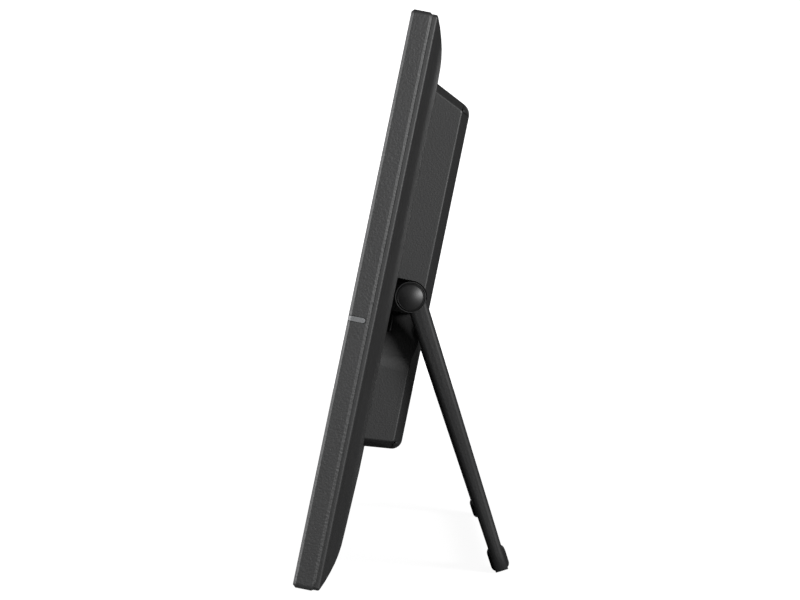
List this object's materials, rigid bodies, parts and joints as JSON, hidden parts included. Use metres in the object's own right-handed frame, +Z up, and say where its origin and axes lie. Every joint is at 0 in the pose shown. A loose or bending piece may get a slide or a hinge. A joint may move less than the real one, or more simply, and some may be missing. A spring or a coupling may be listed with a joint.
{
  "type": "digital photo frame",
  "caption": "Leaning flat display panel with a grained black rim, pillow-edged back cover with a housing, and a fold-out U stand on friction hinges with rubber boots.",
  "frame": {"origin": "centre of the overall box in plan, on the floor the part stands on", "axes": "+X to the right as seen by a viewer of the screen, +Y away from the viewer towards the stand, +Z up"},
  "size_m": [0.5283, 0.1218, 0.3161],
  "materials": {
    "grained_plastic": "fine grained black",
    "leg_plastic": "fine grained black",
    "gloss_plastic": "satin gloss black",
    "light_plastic": "frosted light grey",
    "rubber": "matt black",
    "lens_glass": "polished",
    "cell_glass": "dark",
    "foam": "black foam",
    "film": "white sheet",
    "clear_acrylic": "clear",
    "steel": "zinc-plated",
    "aluminium": "anodised",
    "brass": "turned",
    "board": "solder-masked board",
    "chip": "moulded package",
    "ribbon": "flat cable",
    "socket_black": "moulded"
  },
  "bodies": {
    "display": {"audio_jack": "socket_black", "back_cover": "grained_plastic", "backlight_tray": "steel", "board_screws": "steel", "board_standoffs": "brass", "bracket_nuts": "steel", "card_slot": "steel", "cell_holder": "chip", "chassis_plate": "steel", "chassis_screws": "steel", "clock_cell": "steel", "cover_lens": "lens_glass", "cover_screws": "steel", "dc_jack": "socket_black", "friction_washers": "steel", "front_foot_left": "rubber", "front_foot_right": "rubber", "front_frame": "grained_plastic", "hdmi_socket": "steel", "heat_sink": "aluminium", "hinge_bracket_left": "steel", "hinge_bracket_right": "steel", "key_board": "board", "key_screws": "steel", "key_switches": "chip", "lcd_cell": "cell_glass", "lcd_ribbon": "ribbon", "led_strip": "board", "lens_gasket": "foam", "light_guide": "clear_acrylic", "main_board": "board", "memory_chips": "chip", "mount_standoffs": "steel", "optical_films": "film", "processor": "chip", "reflector_sheet": "film", "speaker_gaskets": "foam", "speaker_left": "chip", "speaker_right": "chip", "speaker_screws": "steel", "status_led_board": "board", "status_light": "light_plastic", "timing_board": "board", "usb_sockets": "steel", "wireless_module": "steel"},
    "stand": {"leg_left": "leg_plastic", "leg_right": "leg_plastic", "hinge_shaft_left": "steel", "hinge_shaft_right": "steel", "hinge_nuts": "steel", "pivot_cap_left": "gloss_plastic", "pivot_cap_right": "gloss_plastic", "crossbar": "aluminium", "foot_boot_left": "rubber", "foot_boot_right": "rubber"},
    "power_button": {"power_key": "gloss_plastic"},
    "menu_button": {"menu_key": "gloss_plastic"},
    "previous_button": {"previous_key": "gloss_plastic"},
    "next_button": {"next_key": "gloss_plastic"}
  },
  "joints": [
    {"name": "stand_hinge", "type": "hinge", "parent": "display", "child": "stand", "pos_m": [0, 0.00327, 0.16007], "axis": [1, 0, 0], "range_deg": [-29.2, 30.8]},
    {"name": "power_press", "type": "slide", "parent": "display", "child": "power_button", "axis": [0, -0.9792, 0.2028], "range_m": [0, 0.0006], "stiffness_N_per_m": 2000},
    {"name": "menu_press", "type": "slide", "parent": "display", "child": "menu_button", "axis": [0, -0.9792, 0.2028], "range_m": [0, 0.0006], "stiffness_N_per_m": 2000},
    {"name": "previous_press", "type": "slide", "parent": "display", "child": "previous_button", "axis": [0, -0.9792, 0.2028], "range_m": [0, 0.0006], "stiffness_N_per_m": 2000},
    {"name": "next_press", "type": "slide", "parent": "display", "child": "next_button", "axis": [0, -0.9792, 0.2028], "range_m": [0, 0.0006], "stiffness_N_per_m": 2000}
  ]
}
